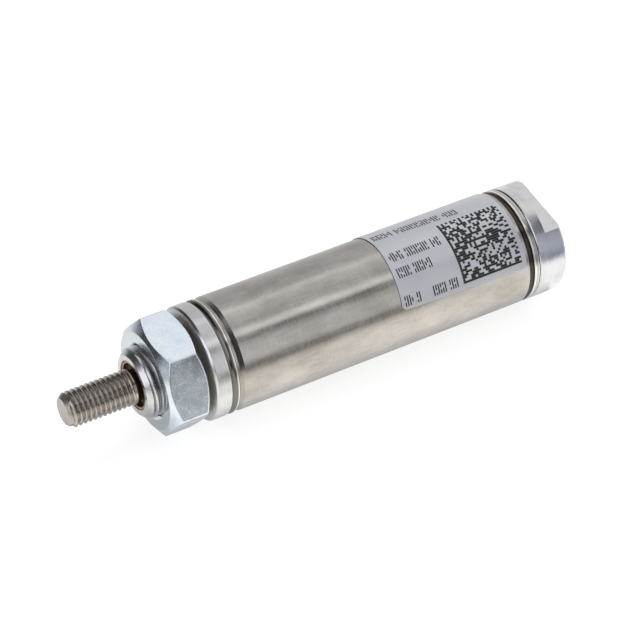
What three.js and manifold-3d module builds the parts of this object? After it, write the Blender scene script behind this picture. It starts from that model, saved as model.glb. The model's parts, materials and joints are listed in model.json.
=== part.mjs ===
// Round-body pneumatic cylinder: nose mounted, single acting, with a spring that returns the rod.
// Millimetres, +Z up. The axis is X: the rod points to -X and the air port opens to +X.
// The origin is on the axis, midway between the rod tip and the rear face.
// Angles around the axis are in degrees, from +Z towards -Y.

import * as THREE from 'three';
import { mergeVertices } from 'three/addons/utils/BufferGeometryUtils.js';
import Module from 'manifold-3d';

const wasm = await Module();
wasm.setup();

// Driving dimensions. The product is made to inch sizes.
const inch = 25.4;
const overallLength = 94.5;
const boreRadius = (3 / 4) * inch / 2;
const stroke = 1 * inch;
const tubeRadius = 0.81 * inch / 2;
const rodRadius = (1 / 4) * inch / 2;
const noseRadius = (1 / 2) * inch / 2;
const nutAcrossFlats = (3 / 4) * inch;
const wrenchFlatsAcross = (5 / 8) * inch;
const portRadius = 4.2;

// Lengths along the axis, from the rod tip backwards.
const rodThreadLength = 13.05;
const noseLength = 10.8;
const flangeLength = 2.75;
const frontSeam = 0.15;
const rearSeam = 0.25;
const rearCapLength = 5.45;
const nutLength = 7.7;
const nutToShoulder = 0.75;
const wrenchFlatLength = 3.4;

// Stations on the axis.
const tipX = -overallLength / 2;
const rearX = overallLength / 2;
const noseX = tipX + rodThreadLength;
const shoulderX = noseX + noseLength;
const flangeRearX = shoulderX + flangeLength;
const tubeFrontX = flangeRearX + frontSeam;
const capShoulderX = rearX - rearCapLength;
const tubeRearX = capShoulderX - rearSeam;
const nutRearX = shoulderX - nutToShoulder;
const nutFrontX = nutRearX - nutLength;
const frontInnerX = flangeRearX + 8.5;
const rearInnerX = capShoulderX - 7.15;

// Rolled grooves that lock the tube to both ends, and the O-ring grooves beside them.
const rollDepth = 0.45;
const frontRoll = { x: tubeFrontX + 1.9, halfWidth: 0.55 };
const rearRoll = { x: tubeRearX - 1.65, halfWidth: 0.55 };
const frontSealX = frontInnerX - 3.4;
const rearSealX = rearInnerX + 2.25;
const sealGroove = { halfWidth: 0.9, floorRadius: 8.0 };
const sealWireRadius = 0.66;

// Clearances: between fixed neighbours, and between neighbours that slide or turn.
const fixedGap = 0.12;
const runningGap = 0.06;
const faceGap = 0.15;
const plugRadius = boreRadius - fixedGap;

// Rod guide bushing, pressed in the nose.
const bushingRadius = 4.4;
const bushingLength = 15.75;
const bushingRecess = 0.15;

// Piston and the pieces on it, placed with the rod fully in.
const bumperThickness = 1.2;
const pistonLength = 9;
const pistonRearX = rearInnerX - bumperThickness - 2 * faceGap;
const pistonFrontX = pistonRearX - pistonLength;
const pistonRadius = boreRadius - 0.14;
const studRadius = 2.4;
const studCounterbore = { radius: 3.45, depth: 2.5 };
const rodSeatDepth = 1.4;
const lockNut = { acrossFlats: 7.9, length: 2.3, recessRadius: 5.3, recessDepth: 2.8 };
const cupGroove = { frontX: pistonFrontX + 4.7, rearX: pistonFrontX + 8.0, floorRadius: 6.6 };
const wearGroove = { frontX: pistonFrontX + 1.3, rearX: pistonFrontX + 3.4, floorRadius: 8.4 };

// Spring, its two seats and the stop that ends the stroke.
const seat = { innerRadius: 3.4, outerRadius: 8.3, thickness: 0.8 };
const pistonSeatX = pistonFrontX - faceGap - seat.thickness;
const frontSeatX = frontInnerX + faceGap;
const springWireRadius = 0.5;
const springRadius = 6.5;
const springTurns = 8;
const springEndPitch = 1.15;
const stop = { innerRadius: 3.45, outerRadius: 5.0, bumperLength: 1.6 };
const stopBumperRearX = pistonSeatX - stroke - faceGap;

// Hexagon and wrench flat directions.
const nutCornerAngle = -20.6;
const wrenchFlatAngle = 8.8;

// Printed label on the tube.
const label = { frontX: 13.65, rearX: 38.75, lowAngle: 71, highAngle: -72, thickness: 0.1, gap: 0.06 };

// Vent hole that lets the rod side breathe.
const vent = { radius: 0.8, x: frontInnerX + 1.6, angle: -100 };

const roundSegments = 40;
const smallSegments = 24;

const degrees = Math.PI / 180;

const colours = {
  brightAluminium: 0xd9dadd,
  satinSteel: 0xa6a19a,
  rodSteel: 0x8f867d,
  zincSteel: 0xb4bcc6,
  bronze: 0x8f6f48,
  springSteel: 0x6d6e70,
  blackRubber: 0x1d1d1f,
  whitePlastic: 0xe4e2dc,
  silverLabel: 0xbdc1c9,
};

function finish(color, roughness, metalness) {
  return new THREE.MeshStandardMaterial({ color, roughness, metalness });
}

function named(name, geometry, material) {
  const mesh = new THREE.Mesh(geometry, material);
  mesh.name = name;
  return mesh;
}

// Turns an outline of [x, radius] pairs about the X axis. The outline runs towards +X on its outer side.
function turned(outline, segments = roundSegments) {
  const points = outline.map(([x, radius]) => new THREE.Vector2(radius, x));
  const geometry = new THREE.LatheGeometry(points, segments);
  geometry.rotateZ(-Math.PI / 2);
  return geometry;
}

// A ring: the same, closed on itself.
function turnedRing(outline, segments = roundSegments) {
  return turned([...outline, outline[0]], segments);
}

// A plain ring with flat faces and square edges.
function washer(frontX, rearX, innerRadius, outerRadius, segments = roundSegments) {
  return turnedRing([
    [frontX, innerRadius],
    [frontX, outerRadius],
    [rearX, outerRadius],
    [rearX, innerRadius],
  ], segments);
}

// An O-ring of round section, centred at x.
function oRing(x, centreRadius, wireRadius, segments = roundSegments) {
  const corners = 8;
  const outline = [];
  for (let i = 0; i < corners; i += 1) {
    const turn = (2 * Math.PI * i) / corners;
    outline.push([x - wireRadius * Math.cos(turn), centreRadius + wireRadius * Math.sin(turn)]);
  }
  return turnedRing(outline, segments);
}

function toSolid(geometry) {
  const bare = geometry.clone();
  bare.deleteAttribute('normal');
  bare.deleteAttribute('uv');
  const merged = mergeVertices(bare);
  return new wasm.Manifold(new wasm.Mesh({
    numProp: 3,
    vertProperties: new Float32Array(merged.attributes.position.array),
    triVerts: new Uint32Array(merged.index.array),
  }));
}

function toGeometry(solid) {
  const mesh = solid.getMesh();
  const geometry = new THREE.BufferGeometry();
  geometry.setAttribute('position', new THREE.BufferAttribute(new Float32Array(mesh.vertProperties), 3));
  geometry.setIndex(new THREE.BufferAttribute(new Uint32Array(mesh.triVerts), 1));
  geometry.computeVertexNormals();
  return geometry;
}

// The stretch of a plug's or tube's outline that dips into a rolled groove.
function rollOutline(roll, radius, depth, extraWidth = 0) {
  const half = roll.halfWidth + extraWidth;
  return [
    [roll.x - half, radius],
    [roll.x - half * 0.55, radius - depth * 0.75],
    [roll.x, radius - depth],
    [roll.x + half * 0.55, radius - depth * 0.75],
    [roll.x + half, radius],
  ];
}

function sealGrooveOutline(x) {
  return [
    [x - sealGroove.halfWidth, plugRadius],
    [x - sealGroove.halfWidth, sealGroove.floorRadius],
    [x + sealGroove.halfWidth, sealGroove.floorRadius],
    [x + sealGroove.halfWidth, plugRadius],
  ];
}

// Front head: threaded nose, shoulder flange, and the plug that the tube is rolled onto.
function frontHead() {
  const bushingBore = bushingRadius + fixedGap / 2;
  const bushingEndX = noseX + bushingRecess + bushingLength + faceGap;
  const rodBore = rodRadius + 0.4;
  const noseChamfer = 0.85;
  const reliefLength = 1.2;
  const reliefRadius = 5.6;
  const flangeChamfer = 0.35;
  return turnedRing([
    [noseX, bushingBore],
    [noseX, noseRadius - noseChamfer],
    [noseX + noseChamfer, noseRadius],
    [shoulderX - reliefLength, noseRadius],
    [shoulderX - reliefLength + 0.4, reliefRadius],
    [shoulderX, reliefRadius],
    [shoulderX, tubeRadius - flangeChamfer],
    [shoulderX + flangeChamfer, tubeRadius],
    [flangeRearX, tubeRadius],
    [flangeRearX, plugRadius],
    ...rollOutline(frontRoll, plugRadius, rollDepth + fixedGap, 0.12),
    ...sealGrooveOutline(frontSealX),
    [frontInnerX, plugRadius],
    [frontInnerX, rodBore],
    [bushingEndX, rodBore],
    [bushingEndX, bushingBore],
  ]);
}

function noseBushing() {
  const frontX = noseX + bushingRecess;
  const innerRadius = rodRadius + runningGap;
  const sinkRadius = 3.95;
  const sinkDepth = 0.9;
  return turnedRing([
    [frontX, sinkRadius],
    [frontX, bushingRadius],
    [frontX + bushingLength, bushingRadius],
    [frontX + bushingLength, innerRadius],
    [frontX + sinkDepth + 0.3, innerRadius],
    [frontX + sinkDepth, sinkRadius],
  ], smallSegments);
}

// Barrel tube, rolled into both ends, with its vent hole drilled on the side away from the label.
function barrelTube() {
  const frontCurl = 0.6;
  const rearCurl = 0.35;
  const outer = [
    [tubeFrontX, tubeRadius - frontCurl],
    [tubeFrontX + frontCurl * 0.35, tubeRadius - frontCurl * 0.3],
    [tubeFrontX + frontCurl * 1.3, tubeRadius],
    ...rollOutline(frontRoll, tubeRadius, rollDepth),
    ...rollOutline(rearRoll, tubeRadius, rollDepth),
    [tubeRearX - rearCurl * 2, tubeRadius],
    [tubeRearX - rearCurl * 0.7, tubeRadius - rearCurl * 0.3],
    [tubeRearX, tubeRadius - rearCurl],
  ];
  const inner = [
    [tubeRearX, boreRadius],
    ...rollOutline(rearRoll, boreRadius, rollDepth).reverse(),
    ...rollOutline(frontRoll, boreRadius, rollDepth).reverse(),
    [tubeFrontX, boreRadius],
  ];
  const drill = new THREE.CylinderGeometry(vent.radius, vent.radius, 4, 16);
  drill.rotateX(Math.PI / 2);
  drill.translate(0, 0, tubeRadius);
  drill.rotateX(vent.angle * degrees);
  drill.translate(vent.x, 0, 0);
  return toGeometry(toSolid(turnedRing([...outer, ...inner])).subtract(toSolid(drill)));
}

// Rear cap: plug, shoulder, pipe port along the axis, and two wrench flats across its end.
function rearCap() {
  const portDepth = 9;
  const passageRadius = 2;
  const portChamfer = 0.6;
  const edge = 0.3;
  const body = turnedRing([
    [rearInnerX, passageRadius],
    [rearInnerX, plugRadius],
    ...sealGrooveOutline(rearSealX),
    ...rollOutline(rearRoll, plugRadius, rollDepth + fixedGap, 0.12),
    [capShoulderX, plugRadius],
    [capShoulderX, tubeRadius - edge / 2],
    [capShoulderX + edge / 2, tubeRadius],
    [rearX - edge, tubeRadius],
    [rearX, tubeRadius - edge],
    [rearX, portRadius + portChamfer],
    [rearX - portChamfer, portRadius],
    [rearX - portDepth, portRadius],
    [rearX - portDepth - portRadius * 0.5, passageRadius],
  ]);
  let solid = toSolid(body);
  for (const side of [0, 180]) {
    const cutterDepth = 6;
    const cutter = new THREE.BoxGeometry(wrenchFlatLength * 2, 4 * tubeRadius, cutterDepth);
    cutter.translate(rearX, 0, wrenchFlatsAcross / 2 + cutterDepth / 2);
    cutter.rotateX((wrenchFlatAngle + side) * degrees);
    solid = solid.subtract(toSolid(cutter));
  }
  return toGeometry(solid);
}

// A hexagon nut about X: a prism cut by a turned outline, which carries its bore and its chamfers.
function hexNut(frontX, rearX, acrossFlats, boreHoleRadius, cornerAngle) {
  const cornerRadius = acrossFlats / Math.sqrt(3);
  const faceRadius = acrossFlats * 0.465;
  const chamferLength = (cornerRadius - faceRadius) * Math.tan(35 * degrees);
  const prism = new THREE.CylinderGeometry(cornerRadius, cornerRadius, (rearX - frontX) * 2, 6);
  prism.rotateZ(-Math.PI / 2);
  prism.translate((frontX + rearX) / 2, 0, 0);
  const blank = turnedRing([
    [frontX, boreHoleRadius + 0.4],
    [frontX, faceRadius],
    [frontX + chamferLength, cornerRadius],
    [rearX - chamferLength, cornerRadius],
    [rearX, faceRadius],
    [rearX, boreHoleRadius + 0.4],
    [rearX - 0.4, boreHoleRadius],
    [frontX + 0.4, boreHoleRadius],
  ]);
  const geometry = toGeometry(toSolid(prism).intersect(toSolid(blank)));
  geometry.rotateX(cornerAngle * degrees);
  return geometry;
}

function mountingNut() {
  return hexNut(nutFrontX, nutRearX, nutAcrossFlats, noseRadius + 0.15, nutCornerAngle);
}

// Piston rod: chamfered tip, guided shank, and the thinner stud that carries the piston.
function pistonRod() {
  const tipChamfer = 0.7;
  const rodShoulderX = pistonFrontX + rodSeatDepth;
  const studEndX = pistonRearX - 0.2;
  return turned([
    [tipX, 0],
    [tipX, rodRadius - tipChamfer],
    [tipX + tipChamfer, rodRadius],
    [rodShoulderX, rodRadius],
    [rodShoulderX, studRadius],
    [studEndX - 0.3, studRadius],
    [studEndX, studRadius - 0.3],
    [studEndX, 0],
  ], smallSegments);
}

function piston() {
  const boreHole = studRadius + runningGap;
  const counterboreX = pistonFrontX + studCounterbore.depth;
  const recessX = pistonRearX - lockNut.recessDepth;
  const edge = 0.4;
  return turnedRing([
    [pistonFrontX, studCounterbore.radius],
    [pistonFrontX, pistonRadius - edge],
    [pistonFrontX + edge, pistonRadius],
    [wearGroove.frontX, pistonRadius],
    [wearGroove.frontX, wearGroove.floorRadius],
    [wearGroove.rearX, wearGroove.floorRadius],
    [wearGroove.rearX, pistonRadius],
    [cupGroove.frontX, pistonRadius],
    [cupGroove.frontX, cupGroove.floorRadius],
    [cupGroove.rearX, cupGroove.floorRadius],
    [cupGroove.rearX, pistonRadius - edge],
    [pistonRearX, pistonRadius - edge],
    [pistonRearX, lockNut.recessRadius],
    [recessX, lockNut.recessRadius],
    [recessX, boreHole],
    [counterboreX, boreHole],
    [counterboreX, studCounterbore.radius],
  ]);
}

function wearRing() {
  return washer(
    wearGroove.frontX + faceGap,
    wearGroove.rearX - faceGap,
    wearGroove.floorRadius + runningGap,
    boreRadius - runningGap,
  );
}

// U-shaped cup seal. Its two lips open to the rear, where the air pressure comes from.
function cupSeal() {
  const frontX = cupGroove.frontX + faceGap;
  const rearLipX = cupGroove.rearX - faceGap;
  const innerRadius = cupGroove.floorRadius + runningGap;
  const outerRadius = boreRadius - runningGap;
  const middleRadius = (innerRadius + outerRadius) / 2;
  const lip = 0.75;
  return turnedRing([
    [frontX, innerRadius],
    [frontX, outerRadius - 0.3],
    [frontX + 1, outerRadius - 0.15],
    [rearLipX, outerRadius],
    [rearLipX, outerRadius - lip * 0.6],
    [frontX + 1.3, middleRadius],
    [rearLipX, innerRadius + lip * 0.6],
    [rearLipX, innerRadius],
  ]);
}

function rodStudSeal() {
  const wireRadius = 0.4;
  const centreRadius = (studRadius + studCounterbore.radius) / 2;
  const middleX = pistonFrontX + (rodSeatDepth + studCounterbore.depth) / 2;
  return oRing(middleX, centreRadius, wireRadius, smallSegments);
}

function pistonLockNut() {
  const frontX = pistonRearX - lockNut.recessDepth + faceGap;
  return hexNut(frontX, frontX + lockNut.length, lockNut.acrossFlats, studRadius + runningGap, 0);
}

// Centre line of a compression spring along X: one close turn at each end and an even pitch between.
class SpringCurve extends THREE.Curve {
  constructor(frontX, rearX) {
    super();
    this.frontX = frontX;
    this.rearX = rearX;
  }

  getPoint(t, target = new THREE.Vector3()) {
    const turn = t * springTurns;
    const openPitch = (this.rearX - this.frontX - 2 * springEndPitch) / (springTurns - 2);
    const openTurns = Math.min(Math.max(turn - 1, 0), springTurns - 2);
    const closeTurns = turn - openTurns;
    const angle = turn * 2 * Math.PI;
    return target.set(
      this.frontX + closeTurns * springEndPitch + openTurns * openPitch,
      -springRadius * Math.sin(angle),
      springRadius * Math.cos(angle),
    );
  }
}

function returnSpring() {
  const frontX = frontSeatX + seat.thickness + faceGap + springWireRadius;
  const rearX = pistonSeatX - faceGap - springWireRadius;
  const section = new THREE.Shape();
  section.absarc(0, 0, springWireRadius, 0, 2 * Math.PI);
  return new THREE.ExtrudeGeometry(section, {
    extrudePath: new SpringCurve(frontX, rearX),
    steps: springTurns * 12,
    curveSegments: 4,
  });
}

// Sleeve around the rod that stops the piston at full stroke, and the rubber ring on its end.
function stopSleeve() {
  const frontX = frontSeatX + seat.thickness + faceGap;
  const rearX = stopBumperRearX - stop.bumperLength - faceGap;
  return washer(frontX, rearX, stop.innerRadius, stop.outerRadius, smallSegments);
}

function frontBumper() {
  const frontX = stopBumperRearX - stop.bumperLength;
  return washer(frontX, stopBumperRearX, stop.innerRadius, stop.outerRadius, smallSegments);
}

function rearBumper() {
  const rearFaceX = rearInnerX - faceGap;
  return washer(rearFaceX - bumperThickness, rearFaceX, 5.6, 8.2);
}

// A thin sheet wrapped on the tube.
function idLabel() {
  const middleX = (label.frontX + label.rearX) / 2;
  const middleRadius = tubeRadius + label.gap + label.thickness / 2;
  const middleAngle = ((label.lowAngle + label.highAngle) / 2) * degrees;
  const arc = (label.lowAngle - label.highAngle) * degrees * middleRadius;
  const sheet = new THREE.BoxGeometry(label.rearX - label.frontX, arc, label.thickness, 1, 36, 1);
  const corners = sheet.attributes.position;
  for (let i = 0; i < corners.count; i += 1) {
    const radius = middleRadius + corners.getZ(i);
    const angle = middleAngle - corners.getY(i) / middleRadius;
    corners.setXYZ(i, middleX + corners.getX(i), -radius * Math.sin(angle), radius * Math.cos(angle));
  }
  sheet.computeVertexNormals();
  return sheet;
}

function ventedBarrel() {
  const aluminium = finish(colours.brightAluminium, 0.3, 1);
  const steel = finish(colours.satinSteel, 0.32, 1);
  const plainSteel = finish(colours.springSteel, 0.4, 1);
  const rubber = finish(colours.blackRubber, 0.7, 0);
  const sealRadius = (sealGroove.floorRadius + boreRadius) / 2;
  const barrel = new THREE.Group();
  barrel.add(
    named('front_head', frontHead(), aluminium),
    named('nose_bushing', noseBushing(), finish(colours.bronze, 0.5, 1)),
    named('barrel_tube', barrelTube(), steel),
    named('rear_cap', rearCap(), aluminium),
    named('front_head_seal', oRing(frontSealX, sealRadius, sealWireRadius), rubber),
    named('rear_cap_seal', oRing(rearSealX, sealRadius, sealWireRadius), rubber),
    named('spring_front_seat', washer(
      frontSeatX,
      frontSeatX + seat.thickness,
      seat.innerRadius,
      seat.outerRadius,
    ), plainSteel),
    named('return_spring', returnSpring(), plainSteel),
    named('stop_sleeve', stopSleeve(), finish(colours.whitePlastic, 0.5, 0)),
    named('front_bumper', frontBumper(), rubber),
    named('rear_bumper', rearBumper(), rubber),
    named('id_label', idLabel(), finish(colours.silverLabel, 0.35, 0.6)),
  );
  return barrel;
}

function rodAssembly() {
  const rubber = finish(colours.blackRubber, 0.7, 0);
  const rod = new THREE.Group();
  rod.add(
    named('piston_rod', pistonRod(), finish(colours.rodSteel, 0.3, 1)),
    named('piston', piston(), finish(colours.brightAluminium, 0.4, 1)),
    named('piston_wear_ring', wearRing(), finish(colours.whitePlastic, 0.5, 0)),
    named('piston_cup_seal', cupSeal(), rubber),
    named('rod_stud_seal', rodStudSeal(), rubber),
    named('piston_lock_nut', pistonLockNut(), finish(colours.zincSteel, 0.35, 1)),
  );
  return rod;
}

function movingSeat() {
  const geometry = washer(pistonSeatX, pistonSeatX + seat.thickness, seat.innerRadius, seat.outerRadius);
  return named('spring_piston_seat', geometry, finish(colours.springSteel, 0.4, 1));
}

const cylinder = new THREE.Group();
cylinder.add(ventedBarrel());
cylinder.add(movingSeat());
cylinder.add(rodAssembly());
cylinder.add(named('mounting_nut', mountingNut(), finish(colours.zincSteel, 0.35, 1)));

export default cylinder;
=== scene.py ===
"""Round-body air cylinder: fine meshes, materials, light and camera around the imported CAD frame.

Outlines are in mm as (x, radius) pairs; meshes are in metres. The axis is X.
Angles around the axis are in degrees, from +Z towards -Y, which is the label's side.
"""

import json
import math
import random

import bmesh
import bpy
import numpy as np
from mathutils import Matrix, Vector


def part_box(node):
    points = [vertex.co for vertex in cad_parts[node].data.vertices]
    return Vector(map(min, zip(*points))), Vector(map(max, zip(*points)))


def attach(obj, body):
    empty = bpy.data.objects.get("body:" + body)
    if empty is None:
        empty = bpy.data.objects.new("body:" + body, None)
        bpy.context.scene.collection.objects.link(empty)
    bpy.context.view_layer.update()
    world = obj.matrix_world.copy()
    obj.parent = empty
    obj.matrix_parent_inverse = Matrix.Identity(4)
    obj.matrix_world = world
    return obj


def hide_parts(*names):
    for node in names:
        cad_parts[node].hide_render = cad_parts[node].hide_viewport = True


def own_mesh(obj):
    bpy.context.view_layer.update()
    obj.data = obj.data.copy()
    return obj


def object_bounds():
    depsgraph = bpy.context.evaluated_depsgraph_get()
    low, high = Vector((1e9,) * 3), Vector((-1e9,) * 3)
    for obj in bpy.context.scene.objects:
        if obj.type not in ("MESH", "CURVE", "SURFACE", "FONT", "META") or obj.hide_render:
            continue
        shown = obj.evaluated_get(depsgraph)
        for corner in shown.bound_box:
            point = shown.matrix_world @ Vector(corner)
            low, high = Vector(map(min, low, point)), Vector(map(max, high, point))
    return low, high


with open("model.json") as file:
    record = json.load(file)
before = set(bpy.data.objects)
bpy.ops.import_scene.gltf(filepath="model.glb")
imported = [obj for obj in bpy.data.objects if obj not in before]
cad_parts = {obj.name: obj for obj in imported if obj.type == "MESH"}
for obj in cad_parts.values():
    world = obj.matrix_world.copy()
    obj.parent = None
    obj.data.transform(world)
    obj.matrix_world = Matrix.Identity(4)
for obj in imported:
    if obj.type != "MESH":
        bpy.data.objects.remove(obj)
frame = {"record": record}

cad_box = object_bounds()

MM = 0.001
MERGE = 2e-6
ROUND = 192
SMALL_ROUND = 96
EDGE_PAD = 0.12

BODY_OF = {
    node: body
    for body, nodes in frame["record"]["behaviour"]["bodies"].items()
    for node in nodes
}

# Inch threads: pitch in mm, and the share of the pitch that the thread is deep.
ROD_PITCH = 25.4 / 28
NOSE_PITCH = 25.4 / 20
PORT_PITCH = 25.4 / 27
THREAD_DEPTH = 0.6134
# One pitch of the thread's section, as (share of the pitch, share of the depth) from a crest.
THREAD_SECTION = [
    (0.0, 0.0), (0.06, 0.03), (0.13, 0.14), (0.37, 0.86), (0.43, 0.96),
    (0.5, 1.0), (0.57, 0.96), (0.63, 0.86), (0.87, 0.14), (0.94, 0.03),
]

TUBE_RADIUS = 10.287
BORE_RADIUS = 9.525
PLUG_RADIUS = 9.405
# The tube's rolled grooves: (middle, half width).
ROLL_DEPTH = 0.45
FRONT_ROLL = (-18.6, 0.55)
REAR_ROLL = (39.9, 0.55)
VENT_X = -10.55
VENT_ANGLE = -100.0
WRENCH_ANGLE = 8.8
NUT_CORNER_ANGLE = -20.6
NUT_REAR = -24.15
HEAD_SHOULDER = -23.4
ROD_THREAD_END = -34.9
ROD_NECK = (-34.6, -33.2)


def span(node):
    """Front x, rear x and highest radius of a turned CAD node, in mm."""
    low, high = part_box(node)
    return low.x / MM, high.x / MM, high.z / MM


# ---------------------------------------------------------------- shapes


def even_angles(count=ROUND):
    return np.arange(count) * (2 * math.pi / count)


def polar(x, radius, angle):
    """Points in mm from x, radius and angle arrays of one shape."""
    return np.stack([x, -radius * np.sin(angle), radius * np.cos(angle)], axis=-1)


def rounded(corners, closed=True, steps=4):
    """An outline with an arc at each (x, radius, fillet) corner, and a support point beside each arc."""
    points = []
    count = len(corners)
    for i, (x, radius, fillet) in enumerate(corners):
        here = np.array((x, radius), float)
        if not fillet or (not closed and i in (0, count - 1)):
            points.append(here)
            continue
        before = np.array(corners[i - 1][:2], float) - here
        after = np.array(corners[(i + 1) % count][:2], float) - here
        long_before = max(np.linalg.norm(before), 1e-6)
        long_after = max(np.linalg.norm(after), 1e-6)
        before /= long_before
        after /= long_after
        half = max(math.acos(float(np.clip(before @ after, -1, 1))) / 2, 1e-3)
        if half > math.pi / 2 - 0.01:
            points.extend([here] * (steps + 3))
            continue
        cut = min(fillet / math.tan(half), 0.42 * long_before, 0.42 * long_after)
        arc = cut * math.tan(half)
        inward = (before + after) / np.linalg.norm(before + after)
        centre = here + inward * arc / math.sin(half)
        start = here + before * cut
        end = here + after * cut
        points.append(start + before * min(EDGE_PAD, 0.07 * long_before))
        sweep = math.pi - 2 * half
        for step in range(steps + 1):
            share = step / steps
            blend = np.array([
                math.sin((1 - share) * sweep), math.sin(share * sweep)
            ]) / math.sin(sweep)
            points.append(centre + blend[0] * (start - centre) + blend[1] * (end - centre))
        points.append(end + after * min(EDGE_PAD, 0.07 * long_after))
    return np.array(points)


def circle(x, radius, wire, count=20):
    """The outline of a round wire, as for an O-ring."""
    turn = even_angles(count)
    return np.stack([x - wire * np.cos(turn), radius + wire * np.sin(turn)], axis=-1)


class Shape:
    """Vertices in mm and faces, gathered from grids that meet at shared points."""

    def __init__(self):
        self.points = []
        self.faces = []

    def grid(self, columns, closed, shift=0):
        """Quads between neighbouring columns of points; the last meets the first, `shift` rows on."""
        base = len(self.points)
        count, rows = columns.shape[:2]
        self.points.extend(columns.reshape(-1, 3))
        for j in range(count):
            step = shift if j == count - 1 else 0
            here = base + j * rows
            there = base + ((j + 1) % count) * rows
            for i in range(rows - (0 if closed else 1) - step):
                k = (i + 1) % rows
                self.faces.append((here + i, here + k, there + k + step, there + i + step))
        return self

    def turn(self, outline, angles=None, closed=True):
        """Turns one outline, or one outline per angle, about X."""
        angles = even_angles() if angles is None else angles
        outline = np.asarray(outline)
        if outline.ndim == 2:
            outline = np.broadcast_to(outline, (len(angles),) + outline.shape)
        columns = polar(outline[..., 0], outline[..., 1], np.asarray(angles)[:, None])
        return self.grid(columns, closed)

    def thread(self, front, rear, pitch, radius_at, angles=None):
        """A right-hand screw surface from front to rear. radius_at(x, depth) takes depth from 0 to 1."""
        angles = even_angles() if angles is None else angles
        phases, depths = np.transpose(THREAD_SECTION)
        turns = math.ceil((rear - front) / pitch) + 5
        row = (np.arange(turns)[:, None] + phases).ravel() - 2
        depth = np.tile(depths, turns)
        share = angles[:, None] / (2 * math.pi)
        x = np.clip(front + (row + share) * pitch, front, rear)
        radius = radius_at(x, np.broadcast_to(depth, x.shape))
        columns = polar(x, radius, angles[:, None])
        return self.grid(columns, False, shift=len(phases))

    def sweep(self, loops):
        """A closed form from a row of closed loops of points, with both ends filled."""
        base = len(self.points)
        count, rows = loops.shape[:2]
        self.points.extend(loops.reshape(-1, 3))
        for j in range(count - 1):
            for i in range(rows):
                k = (i + 1) % rows
                here = base + j * rows
                self.faces.append((here + i, here + k, here + rows + k, here + rows + i))
        self.faces.append(tuple(range(base, base + rows)))
        last = base + (count - 1) * rows
        self.faces.append(tuple(range(last + rows - 1, last - 1, -1)))
        return self

    def mesh(self, name, sharp=32):
        """The merged and closed mesh, in metres."""
        data = bpy.data.meshes.new(name)
        data.from_pydata([tuple(p) for p in np.asarray(self.points) * MM], [], self.faces)
        work = bmesh.new()
        work.from_mesh(data)
        bmesh.ops.remove_doubles(work, verts=work.verts, dist=MERGE)
        bmesh.ops.recalc_face_normals(work, faces=work.faces)
        work.to_mesh(data)
        work.free()
        data.shade_smooth()
        data.set_sharp_from_angle(angle=math.radians(sharp))
        return data


def in_scene(name, data):
    made = bpy.data.objects.new(name, data)
    bpy.context.scene.collection.objects.link(made)
    return made


def place(data, material, body, nodes=()):
    """Puts a mesh in the scene as a piece that rides on a body and stands for CAD nodes."""
    piece = in_scene(data.name, data)
    data.materials.append(material)
    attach(piece, body)
    if nodes:
        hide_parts(*nodes)
    return piece


def place_for(node, shape, material, sharp=32):
    """The piece that stands for one CAD node and rides on its body."""
    return place(shape.mesh("fine_" + node, sharp), material, BODY_OF[node], [node])


def ring(front, rear, inner, outer, fillet=0.08):
    corners = (front, inner), (front, outer), (rear, outer), (rear, inner)
    return rounded([(*corner, fillet) for corner in corners])


def roll(middle, half, radius, depth, fillet=0.3, floor=0.55):
    """The part of an outline that dips into a rolled groove, front to rear."""
    return [
        (middle - half, radius, fillet * 0.8),
        (middle - half * floor, radius - depth * 0.8, fillet),
        (middle, radius - depth, 0),
        (middle + half * floor, radius - depth * 0.8, fillet),
        (middle + half, radius, fillet * 0.8),
    ]


def seal_groove(front, rear, floor=8.0):
    """The part of a plug's outline that dips in for its O-ring, front to rear."""
    return [
        (front, PLUG_RADIUS, 0.08), (front, floor, 0.15),
        (rear, floor, 0.15), (rear, PLUG_RADIUS, 0.08),
    ]


# ---------------------------------------------------------------- materials


class Nodes:
    """Short calls to build a node tree. A value is a socket or a number."""

    def __init__(self, tree):
        self.tree = tree

    def node(self, kind, **settings):
        made = self.tree.nodes.new(kind)
        for key, value in settings.items():
            setattr(made, key, value)
        return made

    def feed(self, socket, value):
        if isinstance(value, bpy.types.NodeSocket):
            self.tree.links.new(value, socket)
        else:
            socket.default_value = value

    def math(self, operation, a, b=0.0):
        made = self.node("ShaderNodeMath", operation=operation)
        self.feed(made.inputs[0], a)
        self.feed(made.inputs[1], b)
        return made.outputs[0]

    def times(self, a, b):
        return self.math("MULTIPLY", a, b)

    def plus(self, a, b):
        return self.math("ADD", a, b)

    def span(self, value, low, high, to_low, to_high, kind="LINEAR"):
        """Maps a value from one range to another, clamped."""
        made = self.node("ShaderNodeMapRange", interpolation_type=kind)
        for socket, number in zip(made.inputs[:5], (value, low, high, to_low, to_high)):
            self.feed(socket, number)
        return made.outputs[0]

    def point(self):
        return self.node("ShaderNodeTexCoord").outputs["Object"]

    def split(self, vector):
        made = self.node("ShaderNodeSeparateXYZ")
        self.feed(made.inputs[0], vector)
        return made.outputs

    def around(self, y, z):
        """The angle about the axis, in radians."""
        return self.math("ARCTAN2", self.times(y, -1.0), z)

    def ramp(self, value, stops):
        made = self.node("ShaderNodeValToRGB")
        self.feed(made.inputs[0], value)
        elements = made.color_ramp.elements
        while len(elements) > 1:
            elements.remove(elements[0])
        for i, (at, colour) in enumerate(stops):
            element = elements[0] if i == 0 else elements.new(at)
            element.position = at
            element.color = (*colour, 1)
        return made.outputs[0]

    def mix(self, share, a, b, blend="MIX"):
        made = self.node("ShaderNodeMix", data_type="RGBA", blend_type=blend)
        self.feed(made.inputs[0], share)
        for socket, value in zip(made.inputs[6:8], (a, b)):
            self.feed(socket, value if isinstance(value, bpy.types.NodeSocket) else (*value, 1))
        return made.outputs[2]


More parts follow.
